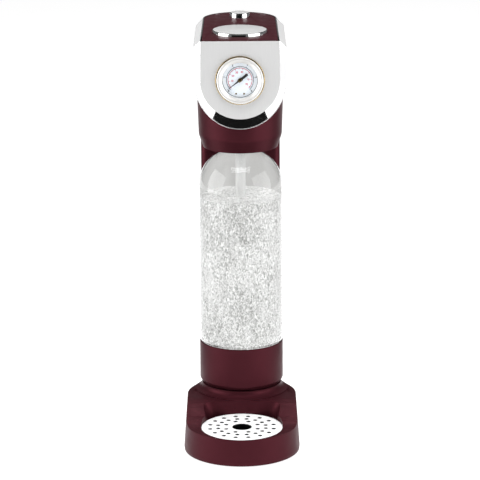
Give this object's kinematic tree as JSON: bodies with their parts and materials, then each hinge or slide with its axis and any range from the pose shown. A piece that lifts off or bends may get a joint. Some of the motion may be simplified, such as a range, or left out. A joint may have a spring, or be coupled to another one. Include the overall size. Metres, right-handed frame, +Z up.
{
  "type": "soda carbonator",
  "caption": "Home soda carbonator with a drip tray, gas cylinder column, gauge head with push buttons, and a clear bottle in a tilting holder.",
  "frame": {"origin": "middle of the footprint's box, on the surface that the feet stand on", "axes": "+Z up, the longest extent; the gauge, buttons and drip tray face -Y; +X is to the right seen from the front"},
  "size_m": [0.1156, 0.2526, 0.4148],
  "materials": {
    "burgundy_body": "semi-gloss",
    "polished_chrome": "polished",
    "brushed_steel": "fine brushed",
    "plain_steel": "satin",
    "cylinder_steel": "satin",
    "brass": "polished",
    "rubber": "matt",
    "black_plastic": "matt",
    "hose": "satin",
    "grey_plastic": "matt",
    "nozzle_plastic": "smooth",
    "gauge_glass": "clear",
    "dial_face": "printed",
    "needle_black": "matt",
    "clear_bottle": "clear"
  },
  "bodies": {
    "machine": {"base_shell": "burgundy_body", "base_plate": "black_plastic", "foot_1": "rubber", "foot_2": "rubber", "foot_3": "rubber", "foot_4": "rubber", "base_screw_1": "plain_steel", "base_screw_2": "plain_steel", "base_screw_3": "plain_steel", "base_screw_4": "plain_steel", "tower_shell": "burgundy_body", "tower_screw_1": "plain_steel", "tower_screw_2": "plain_steel", "cylinder_rest": "grey_plastic", "head_housing": "burgundy_body", "chrome_shroud": "polished_chrome", "top_cover": "burgundy_body", "head_frame": "grey_plastic", "button_spring": "plain_steel", "vent_valve": "brass", "vent_spring": "plain_steel", "lever_pin": "plain_steel", "valve_block": "brass", "tilt_pin": "plain_steel", "gas_hose": "hose", "gauge_hose": "hose", "gauge_case": "brass", "gauge_bezel": "polished_chrome", "gauge_lens": "gauge_glass", "gauge_dial": "dial_face", "gauge_stem": "brass", "bourdon_tube": "brass"},
    "drip_cup": {"drip_cup": "black_plastic"},
    "drip_plate": {"drip_plate": "brushed_steel"},
    "rear_cover": {"rear_cover": "burgundy_body"},
    "gas_cylinder": {"gas_cylinder": "cylinder_steel", "cylinder_valve": "brass"},
    "carbonate_button": {"carbonate_button": "brushed_steel"},
    "vent_button": {"vent_button": "brushed_steel"},
    "valve_lever": {"valve_lever": "plain_steel"},
    "valve_pin": {"valve_pin": "plain_steel"},
    "gauge_needle": {"gauge_needle": "needle_black", "gauge_hub": "brass"},
    "bottle_holder": {"carbonation_block": "grey_plastic", "bottle_socket": "grey_plastic", "bottle_seal": "rubber", "nozzle_tube": "nozzle_plastic", "nozzle_tip": "nozzle_plastic", "relief_valve": "brass"},
    "bottle": {"bottle_body": "clear_bottle", "bottle_cup": "burgundy_body"}
  },
  "joints": [
    {"name": "carbonate_press", "type": "slide", "parent": "machine", "child": "carbonate_button", "axis": [0, 0, -1], "range_m": [0, 0.005], "stiffness_N_per_m": 900, "springref_m": -0.004, "deforming": ["button_spring"]},
    {"name": "vent_press", "type": "slide", "parent": "machine", "child": "vent_button", "axis": [0, 0, -1], "range_m": [0, 0.003], "stiffness_N_per_m": 500, "springref_m": -0.003, "deforming": ["vent_spring"]},
    {"name": "lever_rock", "type": "hinge", "parent": "machine", "child": "valve_lever", "pos_m": [0, 0.10975, 0.378], "axis": [1, 0, 0], "range_deg": [0, 2.75]},
    {"name": "valve_stroke", "type": "slide", "parent": "machine", "child": "valve_pin", "axis": [0, 0, -1], "range_m": [0, 0.00115]},
    {"name": "needle_turn", "type": "hinge", "parent": "machine", "child": "gauge_needle", "pos_m": [0, -0.04435, 0.3717], "axis": [0, 1, 0], "range_deg": [0, 262.8], "stiffness_Nm_per_rad": 0.002},
    {"name": "holder_tilt", "type": "hinge", "parent": "machine", "child": "bottle_holder", "pos_m": [0, 0.03475, 0.345], "axis": [1, 0, 0], "range_deg": [-8, 0], "deforming": ["gas_hose", "gauge_hose"]},
    {"name": "bottle_twist", "type": "hinge", "parent": "bottle_holder", "child": "bottle", "pos_m": [0, 0.00475, 0.3], "axis": [0, 0, 1], "range_deg": [0, 90]},
    {"name": "cover_slide", "type": "slide", "parent": "machine", "child": "rear_cover", "axis": [0, 1, 0], "range_m": [0, 0.06]},
    {"name": "cylinder_twist", "type": "hinge", "parent": "machine", "child": "gas_cylinder", "pos_m": [0, 0.08575, 0.2], "axis": [0, 0, 1], "range_deg": [0, 90]},
    {"name": "cup_lift", "type": "slide", "parent": "machine", "child": "drip_cup", "axis": [0, 0, 1], "range_m": [0, 0.06]},
    {"name": "plate_lift", "type": "slide", "parent": "drip_cup", "child": "drip_plate", "axis": [0, 0, 1], "range_m": [0, 0.03]}
  ],
  "couplings": [
    {"joint": "lever_rock", "follows": "carbonate_press", "rad_per_m": 9.5238},
    {"joint": "valve_stroke", "follows": "carbonate_press", "ratio": 0.22857}
  ]
}
